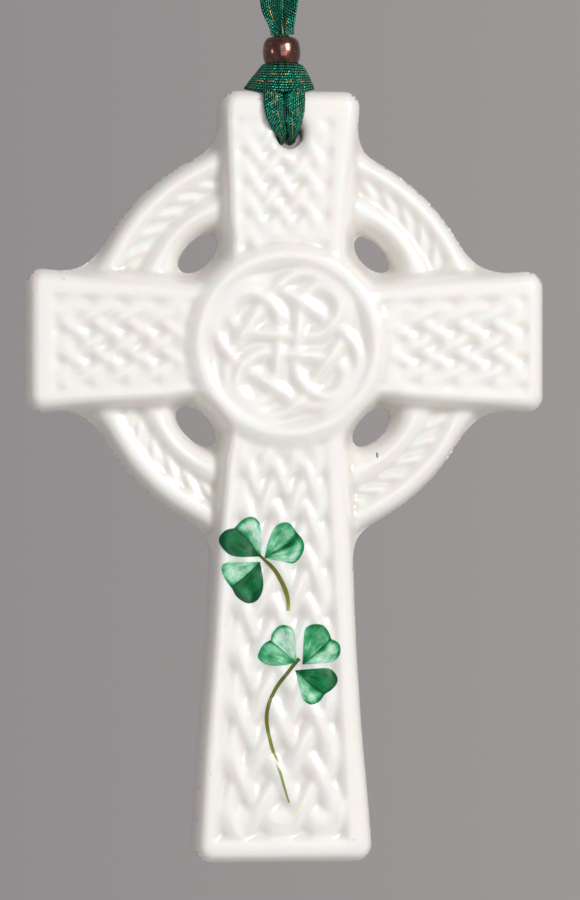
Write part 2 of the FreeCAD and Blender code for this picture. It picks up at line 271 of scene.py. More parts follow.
def ring_height(x, z):
    """The ring: two rounded ridges and, in the track between them, a rope of slanted lobes.

    A lobe's middle line runs outwards while its angle grows, so its number is the angle less
    that growth, over the pitch. The rope's height is a rounded bump of the number's fraction.
    """
    r = np.hypot(x, z)
    angle = np.degrees(np.arctan2(z, x)) % 360
    outer = bump(r - OUTER_RIDGE_R, np.where(r > OUTER_RIDGE_R, 2.1, 1.42))
    inner = bump(r - INNER_RIDGE_R, np.where(r > INNER_RIDGE_R, 1.75, 2.1))
    height = np.full_like(r, TRACK_HEIGHT)
    for ridge in (outer, inner):
        height = soft_max(height, TRACK_HEIGHT + RIDGE_HEIGHT * ridge, 0.4)
    start = np.where(z > 0, 2.3, 1.1)
    number = (angle - start - (r - ROPE_SLANT_R) * ROPE_SLANT) / ROPE_PITCH
    across = (number - np.round(number)) * 1.72
    lobes = 1.05 + 0.9 * bump(across, 0.86, 0.6) * bump(r - ROPE_R, 1.55, 0.6)
    height = soft_max(height, lobes, 0.25)
    return height - edge_fall(inside_outline(x, z), *RING_EDGE)


# One petal of the boss's knot, from the knot's middle and back to it, and the shares of its
# length at which it passes over (1) and under (-1) the other strands.
PETAL_ROUTE = [
    (1.0, -2.4),
    (1.1, -1.2),
    (1.25, 0.3),
    (1.45, 2.0),
    (1.45, 4.2),
    (1.8, 6.1),
    (3.2, 7.7),
    (5.4, 7.4),
    (7.0, 5.6),
    (6.6, 3.5),
    (5.3, 1.9),
    (3.8, 1.1),
    (2.4, 1.0),
]
PETAL_POINTS = 110
PETAL_PLACES = [0.09, 0.28, 0.45, 0.8, 1.0]
PETAL_ORDERS = [-1, 1, -1, 1, 0]
PETAL_HALF = 1.08

# One oval of the knot: its slant, the half width of its strip, the radius of its disc, and the
# places along its straight sides at which it passes over and under.
OVAL_SLANT = math.radians(-34)
OVAL_SIDE = 5.67
OVAL_END_R = 9.85
OVAL_CORNER_R = 3.0
OVAL_PLACES = [-8.5, -5.67, -1.8, 3.6, 5.9, 8.5]
OVAL_ORDERS = [0, -1, 1, -1, 1, 0]
OVAL_HALF = 1.12


def spline_points(points, count):
    """Points along a uniform quadratic B-spline that starts and ends at its end points."""
    p = np.asarray(points, dtype=float)
    p = np.concatenate([2 * p[:1] - p[1:2], p, 2 * p[-1:] - p[-2:-1]])
    t = np.linspace(0.5, len(p) - 2.5, count)
    i = np.clip(np.round(t).astype(int), 1, len(p) - 2)
    f = (t - i)[:, None]
    low, mid, high = p[i - 1], p[i], p[i + 1]
    return 0.5 * (0.5 - f) ** 2 * low + (0.75 - f ** 2) * mid + 0.5 * (0.5 + f) ** 2 * high


def petal_strand(x, z):
    """Distance to one petal of the boss's knot, and how high it lies there, from -1 to 1.

    The petal is a spline sampled as points. Its height passes through -1 and 1 by turns where
    it crosses the other strands.
    """
    line = spline_points(PETAL_ROUTE, PETAL_POINTS)
    apart = np.hypot(x[..., None] - line[:, 0], z[..., None] - line[:, 1])
    share = apart.argmin(axis=-1) / (PETAL_POINTS - 1)
    return apart.min(axis=-1), np.interp(share, PETAL_PLACES, PETAL_ORDERS)


def oval_strand(x, z):
    """Distance to one oval of the boss's knot, and how high it lies there, from -1 to 1.

    The oval is where a strip and a disc overlap, with rounded corners. Along its straight
    sides the height passes through -1 and 1 at the crossings.
    """
    along = x * math.cos(OVAL_SLANT) + z * math.sin(OVAL_SLANT)
    across = z * math.cos(OVAL_SLANT) - x * math.sin(OVAL_SLANT)
    away = np.abs(rounded_corner(OVAL_SIDE - np.abs(across), OVAL_END_R - np.hypot(x, z), OVAL_CORNER_R))
    return away, np.interp(along * np.sign(across), OVAL_PLACES, OVAL_ORDERS)


def boss_height(x, z):
    """The boss: a rounded rim round a level field that carries the knot. Its radius comes too.

    The knot is two long ovals, laid across each other, and a strand with four petals through
    them, each a quarter turn from the last. Each strand is a rounded bump of the distance to
    its line, and swings up and down with the sine of its order at the crossings.
    """
    z = z + BOSS_DOWN
    r = np.hypot(x, z)
    rim = BOSS_LEVEL + BOSS_RIM * bump(r - BOSS_RIM_R, np.where(r > BOSS_RIM_R, 1.8, 1.6), 0.6)
    height = soft_max(np.full_like(r, BOSS_LEVEL), rim, 0.2)
    field = r < BOSS_RIM_R - 0.6
    fx, fz = x[field], z[field]
    knot = height[field]
    for quarter in range(4):
        strands = [(petal_strand(fx, fz), PETAL_HALF)]
        if quarter < 2:
            strands = [(oval_strand(fx, fz), OVAL_HALF)] + strands
        for (away, order), half in strands:
            lift = KNOT_MID + KNOT_SWING * np.sin(order * math.pi / 2)
            knot = soft_max(knot, BOSS_LEVEL - KNOT_SINK + lift * bump(away, half, 0.7), 0.22)
        fx, fz = fz, -fx
    height[field] = knot
    outer_flank = BOSS_LEVEL + BOSS_RIM - edge_fall(BOSS_R - r, *BOSS_EDGE)
    return np.where(r > BOSS_RIM_R + 0.2, outer_flank, height), r


PLAIT_COLUMNS = 6
PLAIT_MID = 0.62
PLAIT_SWING = 0.18


def border_lattice(edge, column, row, rows):
    """For one border of a panel: depth from it, place along it, its length, and its turns' sign."""
    if edge == "left":
        return column, row, rows, 1
    if edge == "right":
        return PLAIT_COLUMNS - column, row, rows, -1
    if edge == "low":
        return row, column, PLAIT_COLUMNS, -1
    return rows - row, column, PLAIT_COLUMNS, 1


def plait_height(column, row, rows, column_step, row_step, half):
    """A plait of six strands over its panel's floor, in lattice steps of columns and rows.

    The strands follow two families of slanted lines, column - row odd and column + row odd.
    The first is on top where the column is odd, the second where it is even, so the heights
    swing with the cosine of the column. At a border two lines meet, and the nearer of their
    distances, with its corner rounded, gives the turn of the strand there.
    """
    norm = np.sqrt(1 / column_step ** 2 + 1 / row_step ** 2)
    height = np.zeros_like(column)
    wave = PLAIT_SWING * np.cos(math.pi * column)
    inner = (column > 0.95) & (column < PLAIT_COLUMNS - 0.95) & (row > 0.95) & (row < rows - 0.95)
    for line, lift in ((column - row, PLAIT_MID - wave), (column + row, PLAIT_MID + wave)):
        away = line - (2 * np.round((line - 1) / 2) + 1)
        strand = np.where(inner, lift * bump(away / norm, half, 0.6), 0)
        height = soft_max(height, strand, 0.1)
    turns = [(edge, place) for place in range(1, rows, 2) for edge in ("left", "right")]
    turns += [(edge, place) for place in range(1, PLAIT_COLUMNS, 2) for edge in ("low", "high")]
    for edge, place in turns:
        depth, along, length, sign = border_lattice(edge, column, row, rows)
        side = along - place
        phase = depth if edge in ("left", "right") else np.abs(side)
        turn = soft_min((depth - side) / norm, (depth + side) / norm, 1.85 / norm)
        way = sign * np.clip(side / 0.35, -1, 1)
        lift = PLAIT_MID + PLAIT_SWING * way * np.maximum(0, -np.cos(math.pi * phase))
        near = (depth < 1.3) & (np.abs(side) < 1.35) & (along > -0.5) & (along < length + 0.5)
        strand = np.where(near, lift * bump(turn, half, 0.6), 0)
        height = soft_max(height, strand, 0.1)
    return height


# The four sunk panels, by the direction of their arm in degrees: the arm's half width at the
# centre and the end, its reach, the border at its end, the plait's rows and their growth
# outwards, the panel's sink, a strand's half width, and the panel's shift across the arm.
Panel = namedtuple("Panel", "turn waist end_half reach border rows growth sink strand shift")
PANELS = [
    Panel(90, 7.4, 9.0, TOP_REACH, 4.1, 8, 1.0, 0.6, 1.15, -0.5),
    Panel(270, 7.4, 11.2, FOOT_REACH, 3.3, 16, 1.25, 0.72, 1.4, 0.9),
    Panel(0, 7.5, 8.8, SIDE_REACH, 2.5, 8, 1.0, 0.6, 1.15, 0.6),
    Panel(180, 7.5, 8.8, SIDE_REACH, 3.6, 8, 1.0, 0.6, 1.15, -0.6),
]
PANEL_START = 12.52
FLANK_BORDER = 2.6
FULL_SINK = 0.72


def panel_height(height, x, z, panel):
    """The face with one arm's panel sunk into it.

    The face drops to the panel's floor inside a soft border, and the plait rises from there.
    Where the rows grow outwards, a row's number is the root of a quadratic in its share of the
    panel's length.
    """
    u = math.radians(panel.turn)
    along = x * math.cos(u) + z * math.sin(u)
    across = z * math.cos(u) - x * math.sin(u) + panel.shift
    outer = panel.reach - panel.border
    length = outer - PANEL_START
    half = panel.waist + (panel.end_half - panel.waist) * along / panel.reach - FLANK_BORDER
    share = np.clip((along - PANEL_START) / length, -0.08, 1.08)
    surplus = panel.growth - 1
    if surplus > 0:
        share = (np.sqrt(np.maximum(1 + 4 * surplus * share * panel.growth, 0)) - 1) / (2 * surplus)
    column_step = 2 * np.maximum(half, 0.1) / PLAIT_COLUMNS
    row_step = length / panel.rows * (1 + 2 * surplus * np.clip(share, 0, 1)) / panel.growth
    column = PLAIT_COLUMNS / 2 + across / column_step
    strands = plait_height(column, share * panel.rows, panel.rows, column_step, row_step, panel.strand)
    inside = np.where(along > 8, np.minimum(half - np.abs(across), outer - along), -5)
    sunk = smooth_step((inside + 0.7) / 1.4)
    raised = panel.sink / FULL_SINK * strands * smooth_step((inside + 0.5) / 0.7)
    carved = np.minimum(FACE - panel.sink + raised, FACE + 0.05)
    return height * (1 - sunk) + carved * sunk


def relief(x, z):
    """Height of the porcelain's front over its middle plane, at any point of the plane."""
    upright = FACE - edge_fall(inside_upright(x, z), *FACE_EDGE)
    crosspiece = FACE - edge_fall(inside_crosspiece(x, z), *FACE_EDGE)
    body = np.maximum(upright, crosspiece)
    for panel in PANELS:
        body = panel_height(body, x, z, panel)
    body = soft_max(body, ring_height(x, z), 0.7)
    boss, r = boss_height(x, z)
    body = np.where(r < BOSS_RIM_R + 0.1, boss, soft_max(body, boss, 0.4))
    body = body - edge_fall(outside_openings(x, z), *OPENING_EDGE)
    body = body - edge_fall(outside_hole(x, z), *HOLE_EDGE)
    return np.maximum(body, DEEPEST)


def blurred(field, sigma_steps):
    """The field smoothed by a Gaussian along both of its axes, as the melted glaze softens it."""
    reach = int(3 * sigma_steps) + 1
    offsets = np.arange(-reach, reach + 1)
    weights = np.exp(-0.5 * (offsets / sigma_steps) ** 2)
    weights = weights / weights.sum()
    for axis in (0, 1):
        padded = np.pad(field, [(reach, reach) if a == axis else (0, 0) for a in (0, 1)], mode="edge")
        total = np.zeros_like(field)
        for offset, weight in zip(offsets, weights):
            part = [slice(None), slice(None)]
            part[axis] = slice(reach + offset, reach + offset + field.shape[axis])
            total = total + weight * padded[tuple(part)]
        field = total
    return field


# The grid that the relief is worked out on. The melted glaze softens it, less on the foot, and
# pools where a wider blur of it lies higher. The blurs are in grid steps.
STEP = 0.225
ARM_BLUR = 1.9
FOOT_BLUR = 1.35
POOL_BLUR = 3.6
GRID_X = np.arange(-35.1, 35.1, STEP)
GRID_Z = np.arange(-69.9, 33.9, STEP)
grid_x, grid_z = np.meshgrid(GRID_X, GRID_Z, indexing="ij")
raw_height = relief(grid_x, grid_z)
on_foot = smooth_step((-grid_z - 12) / 10)
grid_height = blurred(raw_height, ARM_BLUR) * (1 - on_foot) + blurred(raw_height, FOOT_BLUR) * on_foot
grid_pool = blurred(raw_height, POOL_BLUR) - grid_height


def sampled(field, x, z):
    """The gridded field at any points, by straight interpolation between four grid points."""
    a = np.clip((x - GRID_X[0]) / STEP, 0, len(GRID_X) - 1.001)
    b = np.clip((z - GRID_Z[0]) / STEP, 0, len(GRID_Z) - 1.001)
    i, j = a.astype(int), b.astype(int)
    a, b = a - i, b - j
    low = field[i, j] * (1 - a) + field[i + 1, j] * a
    high = field[i, j + 1] * (1 - a) + field[i + 1, j + 1] * a
    return low * (1 - b) + high * b


def placed(x, height, z):
    """Points of the cross's own plane, in millimetres, as metres in the row frame."""
    return np.stack([x, -np.asarray(height), z + CENTRE_Z], axis=-1).reshape(-1, 3) * MM


def slope_of(x, z):
    """The unit direction in which the distance inside the porcelain grows, by central differences."""
    e = 0.02
    gx = material_distance(x + e, z) - material_distance(x - e, z)
    gz = material_distance(x, z + e) - material_distance(x, z - e)
    length = np.hypot(gx, gz) + 1e-12
    return gx / length, gz / length


def onto_outline(x, z):
    """The points moved along the slope of the distance, by the distance itself."""
    inside = material_distance(x, z)
    gx, gz = slope_of(x, z)
    return x - inside * gx, z - inside * gz


def new_mesh_object(name, points, faces, smooth=True):
    """A mesh object at the origin from an array of points and a list of faces."""
    mesh = bpy.data.meshes.new(name)
    mesh.from_pydata(np.asarray(points).tolist(), [], faces)
    mesh.update()
    mesh.polygons.foreach_set("use_smooth", np.full(len(mesh.polygons), smooth))
    thing = bpy.data.objects.new(name, mesh)
    bpy.context.scene.collection.objects.link(thing)
    return thing


def point_attribute(thing, name, values):
    """Stores one number per point of the mesh under that name, for its material to read."""
    layer = thing.data.attributes.new(name, "FLOAT", "POINT")
    layer.data.foreach_set("value", np.asarray(values, dtype=np.float32))


def kept_cells(kept):
    """Faces over a grid: a quad where a cell keeps its four corners, a triangle where it keeps three."""
    number = np.arange(kept.size).reshape(kept.shape)
    corners = np.stack([number[:-1, :-1], number[1:, :-1], number[1:, 1:], number[:-1, 1:]], axis=-1)
    corners = corners.reshape(-1, 4)
    has = kept.reshape(-1)[corners]
    quads = corners[has.all(axis=1)]
    threes = corners[has.sum(axis=1) == 3]
    missing = (~kept.reshape(-1)[threes]).argmax(axis=1)
    order = (missing[:, None] + np.array([1, 2, 3])) % 4
    return quads, np.take_along_axis(threes, order, axis=1)


def open_edges(quads, triangles):
    """The directed edges that no other face has the other way round: the sheet's border."""
    sides = [quads[:, [k, (k + 1) % 4]] for k in range(4)]
    sides += [triangles[:, [k, (k + 1) % 3]] for k in range(3)]
    edges = np.concatenate(sides)
    base = edges.max() + 1
    there = edges[:, 0] * base + edges[:, 1]
    back = edges[:, 1] * base + edges[:, 0]
    return edges[~np.isin(there, back)]


# Grid points this near to the outline move onto it.
SNAP = 0.52 * STEP

# The walls behind the rim: each row's inset and its share of the way to the back, and then the
# roll of the back's edge, by angle in degrees.
WALL_INSET = -0.12
WALL_ROWS = [(-0.08, 0.25), (WALL_INSET, 0.5), (WALL_INSET, 0.75)]
BACK_ROUNDING = 0.7
ROLL_ANGLES = [0, 22, 45, 68, 90]


def wall_rows(rim_height):
    """The rows of the walls, each an inset along the slope and a height for every rim point."""
    edge = BACK + BACK_ROUNDING
    rows = [(inset, rim_height + (edge - rim_height) * share) for inset, share in WALL_ROWS]
    for angle in np.radians(ROLL_ANGLES):
        inset = WALL_INSET + (BACK_ROUNDING - WALL_INSET) * (1 - math.cos(angle))
        rows.append((inset, np.full(len(rim_height), BACK + BACK_ROUNDING * (1 - math.sin(angle)))))
    rows.append((BACK_ROUNDING + 0.25, np.full(len(rim_height), BACK)))
    return rows


def close_back(thing):
    """Fills the flat back between its outer edge and the openings' edges."""
    bm = bmesh.new()
    bm.from_mesh(thing.data)
    rims = [edge for edge in bm.edges if edge.is_boundary]
    filled = bmesh.ops.triangle_fill(bm, edges=rims, use_beauty=True)
    for face in filled["geom"]:
        face.smooth = True
    bmesh.ops.recalc_face_normals(bm, faces=bm.faces)
    bm.to_mesh(thing.data)
    bm.free()


def porcelain_cross():
    """The casting: a fine height grid in front, rolled walls round every edge and a level back.

    Grid points within half a step of the outline move onto it along the slope of the distance.
    The border of the cells that stay is then evened out, each point going half way to the
    middle of its neighbours and back onto the outline, and the walls go back from it.
    """
    distance = material_distance(grid_x, grid_z)
    near = np.abs(distance) < SNAP
    x, z = grid_x.copy(), grid_z.copy()
    for _ in range(3):
        x[near], z[near] = onto_outline(x[near], z[near])
    quads, triangles = kept_cells(distance > -SNAP)
    used = np.unique(np.concatenate([quads.reshape(-1), triangles.reshape(-1)]))
    renumbered = np.full(x.size, -1)
    renumbered[used] = np.arange(len(used))
    quads, triangles = renumbered[quads], renumbered[triangles]
    x, z = x.reshape(-1)[used], z.reshape(-1)[used]

    border = open_edges(quads, triangles)
    rim = np.unique(border)
    starts, ends = np.searchsorted(rim, border[:, 0]), np.searchsorted(rim, border[:, 1])
    ahead = np.empty(len(rim), dtype=int)
    ahead[starts] = ends
    behind = np.argsort(ahead)
    rim_x, rim_z = x[rim], z[rim]
    for _ in range(5):
        rim_x = 0.5 * rim_x + 0.25 * (rim_x[ahead] + rim_x[behind])
        rim_z = 0.5 * rim_z + 0.25 * (rim_z[ahead] + rim_z[behind])
        rim_x, rim_z = onto_outline(rim_x, rim_z)
    x[rim], z[rim] = rim_x, rim_z

    height = sampled(grid_height, x, z)
    points = [placed(x, height, z)]
    gx, gz = slope_of(rim_x, rim_z)
    rows = wall_rows(height[rim])
    walls = []
    before = rim
    for number, (inset, level) in enumerate(rows):
        points.append(placed(rim_x + gx * inset, level, rim_z + gz * inset))
        after = len(used) + number * len(rim) + np.arange(len(rim))
        walls.append(np.stack([before[ends], before[starts], after[starts], after[ends]], axis=-1))
        before = after
    faces = quads.tolist() + triangles.tolist() + np.concatenate(walls).tolist()
    thing = new_mesh_object("cross_casting", np.concatenate(points), faces)
    close_back(thing)
    pool = np.concatenate([sampled(grid_pool, x, z), np.zeros(len(rows) * len(rim))])
    point_attribute(thing, "pool", pool)
    return thing


def grid_faces(rows, columns, close_rows=False, close_columns=False):
    """Quads of a grid of points, row by row, closed round its rows or columns if asked."""
    i = np.arange(rows if close_rows else rows - 1)[:, None]
    j = np.arange(columns if close_columns else columns - 1)[None, :]
    h = (i + 1) % rows
    k = (j + 1) % columns
    corners = [i * columns + j, i * columns + k, h * columns + k, h * columns + j]
    return np.stack(corners, axis=-1).reshape(-1, 4).tolist()


def end_caps(rows, columns):
    """One face over each end of a grid that is closed round its columns."""
    first = list(range(columns))
    return [first[::-1], [(rows - 1) * columns + k for k in first]]


def unit(vectors):
    """The vectors of an array, each made one long."""
    return vectors / np.linalg.norm(vectors, axis=1, keepdims=True)


def length_along(line):
    """The distance along a line of points, from its start to each of them."""
    steps = np.linalg.norm(np.diff(line, axis=0), axis=1)
    return np.concatenate([[0], np.cumsum(steps)])


def uv_from_grid(thing, shape, u, v):
    """A UV map from two numbers per point, each an array that broadcasts to the grid's shape."""
    layer = thing.data.uv_layers.new(name="UVMap")
    corners = np.empty(len(thing.data.loops), dtype=np.int32)
    thing.data.loops.foreach_get("vertex_index", corners)
    pairs = [np.broadcast_to(values, shape).reshape(-1)[corners] for values in (u, v)]
    layer.data.foreach_set("uv", np.stack(pairs, axis=-1).reshape(-1).astype(np.float32))


STRIP_POINTS = 15


def strip_shell(name, centre, across, normal, widths, curl, along, fold=0.0):
    """A ribbon: a closed flat section carried along a line.

    Each station has its middle point, the direction across the ribbon, its normal, a width
    and a curl. With s the place across from -1 to 1, the section's two faces are the parabola
    curl (s^2 - 0.4), half a thickness to either side that thins out with s^4, and its edges
    are closed by the wrap of the grid. Creases are waves of the place across and along.
    """
    s = np.linspace(-1, 1, STRIP_POINTS)
    s = np.concatenate([s, s[::-1]])
    side = np.repeat([1.0, -1.0], STRIP_POINTS)
    skin = side * RIBBON_THICK / 2 * np.sqrt(1 - 0.93 * s ** 4)
    place = along[:, None]
    crease = np.sin(4.2 * s + 1.9 * np.sin(1.3 * place) + 2.1 * place)
    depth = curl[:, None] * (s ** 2 - 0.4) + skin
    depth = depth + fold * crease * (1 + 0.5 * np.sin(5.1 * place))
    out = widths[:, None] / 2 * s
    points = centre[:, None] + across[:, None] * out[..., None] + normal[:, None] * depth[..., None]
    shape = out.shape
    faces = grid_faces(*shape, close_columns=True) + end_caps(*shape)
    thing = new_mesh_object(name, points.reshape(-1, 3) * MM, faces)
    uv_from_grid(thing, shape, (s + 1) / 2, place)
    recalculated(thing)
    return thing


def recalculated(thing):
    """Turns every face of the mesh outwards."""
    bm = bmesh.new()
    bm.from_mesh(thing.data)
    bmesh.ops.recalc_face_normals(bm, faces=bm.faces)
    bm.to_mesh(thing.data)
    bm.free()


def line_of(route):
    """Points read from a NURBS spline of order 3 that has the route's points as control points."""
    curve = bpy.data.curves.new("loop_line", "CURVE")
    curve.dimensions = "3D"
    curve.resolution_u = 24
    spline = curve.splines.new("NURBS")
    spline.points.add(len(route) - 1)
    for point, place in zip(spline.points, route):
        point.co = (*place, 1)
    spline.order_u = 3
    spline.use_endpoint_u = True
    carrier = bpy.data.objects.new("loop_line", curve)
    mesh = bpy.data.meshes.new_from_object(carrier)
    line = np.array([v.co[:] for v in mesh.vertices])
    bpy.data.objects.remove(carrier)
    bpy.data.meshes.remove(mesh)
    return line


LOOP_ROUTE = [
    (-0.92 * MM, 0, -67.3 * MM),
    (-1.05 * MM, 0, -65.8 * MM),
    (-2.0 * MM, 0, -62.6 * MM),
    (-4.4 * MM, 0, -21.0 * MM),
    (-5.0 * MM, 0, -8.5 * MM),
    (-3.8 * MM, 0, 0.225 * MM),
    (3.8 * MM, 0, 0.225 * MM),
    (5.0 * MM, 0, -8.5 * MM),
    (4.1 * MM, 0, -21.0 * MM),
    (0.3 * MM, 0, -62.6 * MM),
    (0.25 * MM, 0, -65.8 * MM),
    (0.32 * MM, 0, -67.3 * MM),
]


def ribbon_loop():
    """The two standing strands and their loop: a ribbon along the route's spline.

    The ribbon lies flat over the hook and turns about its line by up to half a right angle on
    its way down to the bead, where it is gathered: the turn, the width and the curl follow
    the distance from the nearer end.
    """
    path = line_of(LOOP_ROUTE)
    line = path / MM
    along = length_along(line)
    tangent = unit(np.gradient(line, axis=0))
    sideways = np.tile([0.0, 1.0, 0.0], (len(line), 1))
    normal = np.cross(tangent, sideways)
    from_end = np.minimum(along, along[-1] - along)
    rising = np.where(along < along[-1] / 2, 1.0, -0.8)
    turn = np.radians(52) * (1 - smooth_step((from_end - 5) / 42)) * rising
    cos, sin = np.cos(turn)[:, None], np.sin(turn)[:, None]
    across = sideways * cos + normal * sin
    facing = normal * cos - sideways * sin
    gather = 1 - smooth_step((from_end - 0.2) / 4.2)
    widths = RIBBON_W - 1.7 * gather
    curl = 0.22 + 0.35 * gather
    return strip_shell("ribbon_loop_satin", line, across, facing, widths, curl, along), path.tolist()


def bead():
    """The bead: a turned barrel with a bore for the ribbon.

    Its section goes once round an angle t. The radius bulges from the bore with cos(t)^0.7 on
    the outside, and the height follows sin(t)^0.95 on both.
    """
    rows, columns = 48, 72
    t = np.linspace(0, 2 * np.pi, rows, endpoint=False)[:, None]
    angle = np.linspace(0, 2 * np.pi, columns, endpoint=False)
    r = BEAD_BORE_R + BEAD_BULGE * np.clip(np.cos(t), 0, 1) ** 0.7
    lift = np.sign(np.sin(t)) * np.abs(np.sin(t)) ** 0.95
    z = BEAD_LOW_Z + BEAD_HIGH / 2 * (1 + lift)
    points = np.stack(np.broadcast_arrays(BEAD_X + r * np.cos(angle), r * np.sin(angle), z), axis=-1)
    faces = grid_faces(rows, columns, close_rows=True, close_columns=True)
    thing = new_mesh_object("bead_turned", points.reshape(-1, 3) * MM, faces)
    recalculated(thing)
    return thing


# The hitch's legs: their x on the band and in the hole, and the stations from inside the band
# down the face, through the hole and up the back: share of the way to the hole's x, height,
# z and width.
LEGS = [
    ("hitch_leg_left", -1.95, -0.6),
    ("hitch_leg_right", 0.85, 0.7),
]
LEG_STATIONS = np.array([
    (0.0, 1.6, 35.6, 2.0),
    (0.0, 3.0, 34.4, 2.4),
    (0.0, 4.5, 32.9, 2.7),
    (0.0, 5.0, 31.6, 2.8),
    (0.0667, 4.85, 30.0, 2.6),
    (0.4, 4.7, 28.4, 2.1),
    (1.0, 4.0, 26.75, 1.2),
    (1.0, 0.0, 26.3, 1.1),
    (1.0, -4.0, 26.75, 1.2),
    (0.3333, -4.75, 28.6, 1.9),
    (0.0, -4.85, 30.6, 2.5),
    (0.0, -4.9, 32.6, 2.6),
    (0.0, -4.3, 34.2, 2.4),
    (0.0, -2.6, 36.0, 1.8),
])
LEG_CURL = -0.32
LEG_FOLD = 0.14


def hitch_leg(name, band_x, hole_x):
    """One of the hitch's two ribbons: from the band down the face, through the hole and up the back.

    It is a strip along a spline, wide and nearly flat on the face and folded narrow in the hole.
    """
    share, height, z, width = LEG_STATIONS.T
    x = band_x + (hole_x - band_x) * share
    fine = spline_points(np.stack([x, -height, z + CENTRE_Z, width], axis=-1), 90)
    centre, widths = fine[:, :3], fine[:, 3]
    tangent = unit(np.gradient(centre, axis=0))
    across = np.tile([1.0, 0.0, 0.0], (len(centre), 1))
    across = unit(across - tangent * (across * tangent).sum(axis=1, keepdims=True))
    normal = np.cross(tangent, across)
    along = length_along(centre) + 3 * band_x
    curl = np.full(len(centre), LEG_CURL)
    return strip_shell(name, centre, across, normal, widths, curl, along, fold=LEG_FOLD)


def hitch_band():
    """The hitch's band over the top edge: a pleated skirt that flares from the bead down.

    Its section is a pointed oval whose half lengths grow with t, the depth below the bead. The
    pleats are waves of the angle that deepen downwards.
    """
    rows, columns = 26, 192
    t = np.linspace(0, 1, rows)[:, None]
    angle = np.linspace(0, 2 * np.pi, columns, endpoint=False)[None, :]
    c, s = np.cos(angle), np.sin(angle)
    front = s > 0
    wide = 2.3 + 1.95 * t ** 0.75
    deep = np.where(front, 2.0 + 2.95 * t ** 0.7, 1.8 + 2.4 * t ** 0.9)
    pleats = 1 + 0.05 * t * np.sin(9 * angle + 1.3 + 2 * t) + 0.035 * np.sin(15 * angle + 2.9 * t)
    x = -0.35 - 0.4 * t + wide * c * np.abs(c) ** 0.15 * pleats
    height = deep * s * np.abs(s) ** 0.2 * pleats
    z = TOP_REACH + 3.6 - 3.7 * t - 0.35 * t * np.maximum(s, 0) + 0.55 * np.abs(c) ** 3 * t
    z = np.where(front, z, np.maximum(z, TOP_REACH + 0.15))
    points = placed(*np.broadcast_arrays(x, height, z))
    thing = new_mesh_object("hitch_band", points, grid_faces(rows, columns, close_columns=True))
    uv_from_grid(thing, (rows, columns), t, 28 * np.abs(angle / (2 * np.pi) - 0.5))
    recalculated(thing)
    solid = thing.modifiers.new("thickness", "SOLIDIFY")
    solid.thickness = 0.25 * MM
    solid.offset = -1
    return thing


def hitch_neck():
    """The folded ribbon inside the bead: a short round bundle with pleats, closed at both ends."""
    rows, columns = 14, 60
    t = np.linspace(0, 1, rows)[:, None]
    angle = np.linspace(0, 2 * np.pi, columns, endpoint=False)[None, :]
    r = (1.16 + 0.07 * np.sin(8 * angle)) * np.where(t > 0.97, 0.8, 1.0)
    low = CENTRE_Z + TOP_REACH + 2.4
    z = low + (NECK_TOP_Z - low) * t
    points = np.stack(np.broadcast_arrays(BEAD_X + r * np.cos(angle), r * np.sin(angle), z), axis=-1)
    faces = grid_faces(rows, columns, close_columns=True) + end_caps(rows, columns)
    thing = new_mesh_object("hitch_neck", points.reshape(-1, 3) * MM, faces)
    uv_from_grid(thing, (rows, columns), angle / 2.1, 7 * t)
    recalculated(thing)
    return thing


# A place on the face is read from the photograph in pixels: the column and row of the point
# where the arms' centre lines meet, and a pixel's size across and down. A leaflet's outline is
# given in pixels of its own size, from its base.
CENTRE_COLUMN = 288.1
CENTRE_ROW = 341.0
PIXEL_ACROSS = 0.13351
PIXEL_DOWN = 0.133
LEAF_PIXEL = 0.137


def on_face(column, row):
    """A place on the face, given by its column and row in the photograph's frame."""
    return (column - CENTRE_COLUMN) * PIXEL_ACROSS, (CENTRE_ROW - row) * PIXEL_DOWN


def leaflet(name, base, outline, tones, vein):
    """One painted leaflet, lying on the relief.

    Its outline is a spline through places given by angle and distance from the base. With k
    the share of the way out from the base and f the share of the way round, the tone goes from
    one lobe's to the other's across the vein, and darkens along vein, rim, base and edges.
    """
    rows, columns = 26, 73
    base_x, base_z = on_face(*base)
    angle, reach = np.array(outline).T
    turn, reach = np.radians(angle), reach * LEAF_PIXEL
    rim = spline_points(np.stack([reach * np.cos(turn), reach * np.sin(turn)], axis=-1), columns)
    k = np.linspace(0, 1, rows)[1:, None]
    f = np.linspace(0, 1, columns)[None, :]
    x = np.concatenate([[base_x], (base_x + k * rim[:, 0]).reshape(-1)])
    z = np.concatenate([[base_z], (base_z + k * rim[:, 1]).reshape(-1)])
    points = placed(x, sampled(grid_height, x, z) + 0.045, z)
    inner = np.array(grid_faces(rows - 1, columns)) + 1
    j = np.arange(columns - 1)
    fan = np.stack([np.zeros(columns - 1, dtype=int), j + 1, j + 2], axis=-1)
    thing = new_mesh_object(name, points, inner.tolist() + fan.tolist())
    centre = vein + 0.06 * np.sin(3 * k)
    tone = tones[0] + (tones[1] - tones[0]) * smooth_step((f - centre + 0.1) / 0.2)
    tone = tone - 0.65 * np.exp(-((f - centre) / 0.035) ** 2) * smooth_step(k * 3)
    tone = tone - 0.5 * smooth_step((k - 0.86) / 0.14) * (0.6 + 0.4 * np.sin(9 * f + 4 * vein))
    tone = tone - 0.4 * (1 - smooth_step(k / 0.35)) - 0.3 * smooth_step((np.abs(f - 0.5) - 0.4) / 0.1)
    shape = (rows - 1, columns)
    side = np.concatenate([[0.5], np.broadcast_to(f, shape).reshape(-1)])
    out = np.concatenate([[0], np.broadcast_to(k, shape).reshape(-1)])
    uv_from_grid(thing, side.shape, side, out)
    point_attribute(thing, "tone", np.concatenate([[0.1], tone.reshape(-1)]))
    front_facing(thing)
    return thing


